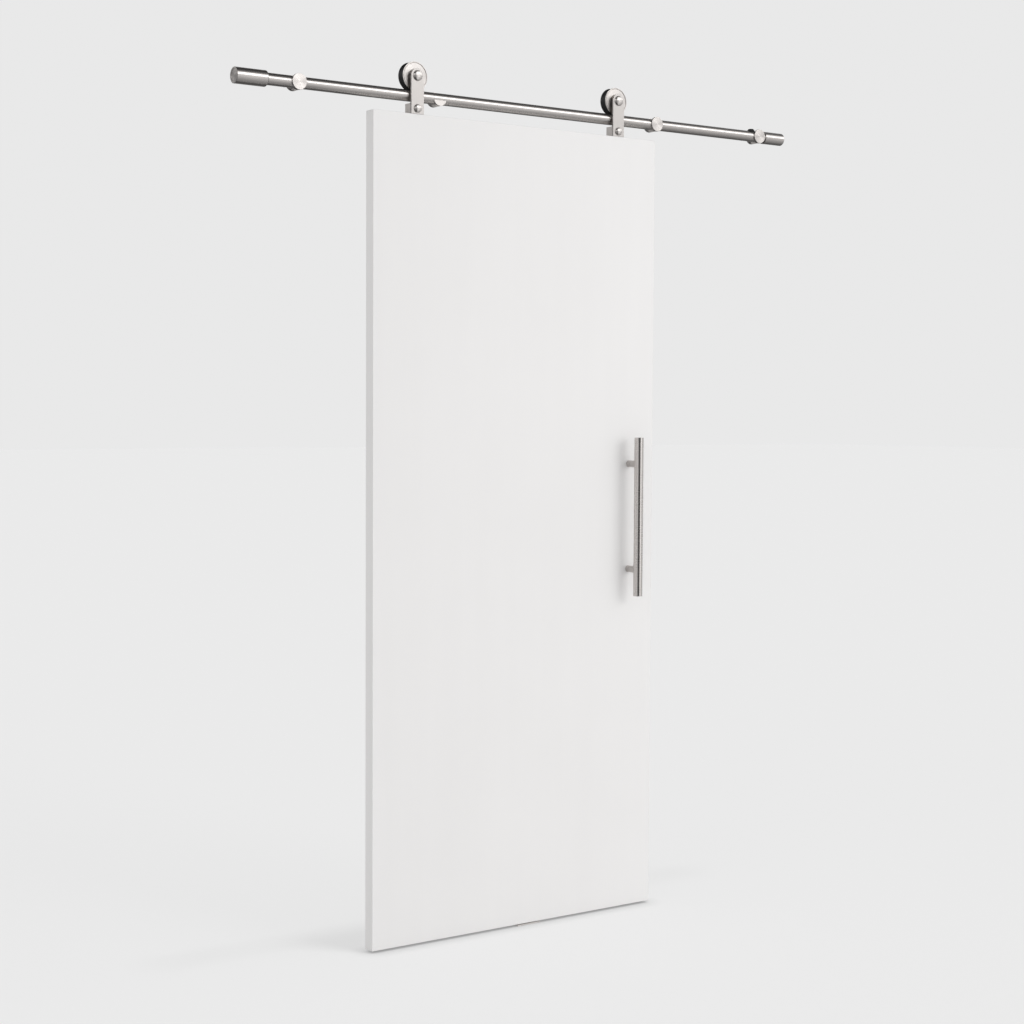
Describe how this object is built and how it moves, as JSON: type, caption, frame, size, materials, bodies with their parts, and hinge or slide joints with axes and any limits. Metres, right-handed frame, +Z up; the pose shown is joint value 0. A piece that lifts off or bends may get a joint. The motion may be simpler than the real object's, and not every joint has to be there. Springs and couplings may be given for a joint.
{
  "type": "sliding barn door hardware",
  "caption": "White flat door hung from a round wall-mounted steel rail by grooved wheels and top straps, with stops, splice, floor guide and a round bar pull.",
  "frame": {"origin": "on the wall's face, at the height of the rail's axis, midway between the two outer standoffs", "axes": "+Z up, +X along the rail to the right of somebody facing the door, +Y into the wall, so the door's face looks towards -Y"},
  "size_m": [1.788, 0.1515, 2.2734],
  "materials": {
    "satin_steel": "satin brushed stainless steel",
    "zinc_steel": "plain zinc-plated steel",
    "bearing_steel": "ground and polished bearing steel",
    "black_nylon": "moulded black nylon, satin",
    "black_rubber": "matt black rubber",
    "door_paint": "white satin paint on a flat wooden slab"
  },
  "bodies": {
    "rail": {"rail_tube_left": "satin_steel", "rail_tube_right": "satin_steel", "splice_spigot": "zinc_steel", "splice_screws": "zinc_steel", "end_sleeve_left": "satin_steel", "end_plug_left": "satin_steel", "sleeve_screws_left": "zinc_steel", "end_sleeve_right": "satin_steel", "end_plug_right": "satin_steel", "sleeve_screws_right": "zinc_steel", "bumper_ring": "black_rubber", "stop_button": "black_rubber", "stop_button_screw": "zinc_steel", "standoff_1": "satin_steel", "standoff_2": "satin_steel", "standoff_3": "satin_steel", "standoff_4": "satin_steel", "standoff_cap_1": "satin_steel", "standoff_cap_3": "satin_steel", "standoff_cap_4": "satin_steel", "wall_stud_1": "zinc_steel", "wall_stud_3": "zinc_steel", "wall_stud_4": "zinc_steel", "wall_screw_2": "zinc_steel", "floor_guide_plate": "satin_steel", "floor_guide_fin": "black_nylon"},
    "door": {"door_panel": "door_paint", "hanger_strap_left": "satin_steel", "hanger_block_left": "satin_steel", "top_screws_left": "zinc_steel", "clamp_bolt_left": "satin_steel", "axle_bolt_left": "satin_steel", "front_spacer_left": "satin_steel", "bearing_inner_race_left": "bearing_steel", "rear_spacer_left": "satin_steel", "axle_nut_left": "zinc_steel", "hanger_strap_right": "satin_steel", "hanger_block_right": "satin_steel", "top_screws_right": "zinc_steel", "clamp_bolt_right": "satin_steel", "axle_bolt_right": "satin_steel", "front_spacer_right": "satin_steel", "bearing_inner_race_right": "bearing_steel", "rear_spacer_right": "satin_steel", "axle_nut_right": "zinc_steel", "handle_bar": "satin_steel", "handle_end_caps": "satin_steel", "handle_post_lower": "satin_steel", "handle_post_upper": "satin_steel", "handle_bolts": "zinc_steel"},
    "wheel_left": {"wheel_core_left": "black_nylon", "wheel_face_left": "satin_steel", "wheel_back_left": "satin_steel", "bearing_outer_race_left": "bearing_steel", "bearing_balls_left": "bearing_steel"},
    "wheel_right": {"wheel_core_right": "black_nylon", "wheel_face_right": "satin_steel", "wheel_back_right": "satin_steel", "bearing_outer_race_right": "bearing_steel", "bearing_balls_right": "bearing_steel"}
  },
  "joints": [
    {"name": "door_slide", "type": "slide", "parent": "rail", "child": "door", "axis": [1, 0, 0], "range_m": [-0.403, 0.485]},
    {"name": "wheel_left_spin", "type": "hinge", "parent": "door", "child": "wheel_left", "pos_m": [-0.4225, -0.021, 0.0488], "axis": [0, 1, 0], "continuous": true},
    {"name": "wheel_right_spin", "type": "hinge", "parent": "door", "child": "wheel_right", "pos_m": [0.2305, -0.021, 0.0488], "axis": [0, 1, 0], "continuous": true}
  ],
  "couplings": [
    {"joint": "wheel_left_spin", "follows": "door_slide", "rad_per_m": 29.586},
    {"joint": "wheel_right_spin", "follows": "door_slide", "rad_per_m": 29.586}
  ]
}
